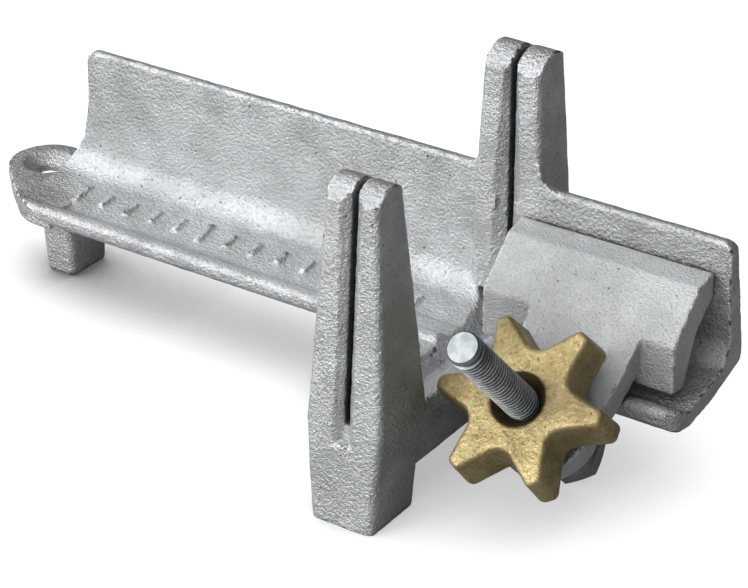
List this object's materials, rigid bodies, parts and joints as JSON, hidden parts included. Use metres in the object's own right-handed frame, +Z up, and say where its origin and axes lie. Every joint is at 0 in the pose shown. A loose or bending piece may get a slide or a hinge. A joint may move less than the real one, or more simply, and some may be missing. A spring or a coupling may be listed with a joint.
{
  "type": "conduit saw guide vise",
  "caption": "Cast trough for sawing conduit, with two slotted posts that guide the blade, a bench screw ear, and a hooked jaw pulled down by a bolt and star knob.",
  "frame": {"origin": "centre of the front post's foot on the bench, in the plane of the saw blade", "axes": "+X along the conduit towards the clamp, +Y towards the back wall, +Z up"},
  "size_m": [0.2566, 0.1038, 0.108],
  "materials": {
    "casting": "sand-cast, silver coated, worn dark on the edges",
    "jaw_casting": "fine sand-cast, silver coated",
    "bolt_zinc": "bright zinc plate",
    "knob_gold": "sand-cast, yellow gold plate with a green and pink sheen"
  },
  "bodies": {
    "body": {"body_casting": "casting", "clamp_bolt": "bolt_zinc"},
    "jaw": {"clamp_jaw": "jaw_casting"},
    "knob": {"star_knob": "knob_gold"}
  },
  "joints": [
    {"name": "jaw_travel", "type": "slide", "parent": "body", "child": "jaw", "axis": [0, -0.682, 0.7314], "range_m": [0, 0.0127]},
    {"name": "knob_spin", "type": "hinge", "parent": "jaw", "child": "knob", "pos_m": [0.03925, 0.0162, 0.0402], "axis": [0, -0.682, 0.7314], "range_deg": [0, 2880]}
  ],
  "couplings": [
    {"joint": "knob_spin", "follows": "jaw_travel", "rad_per_m": 3957.9}
  ]
}
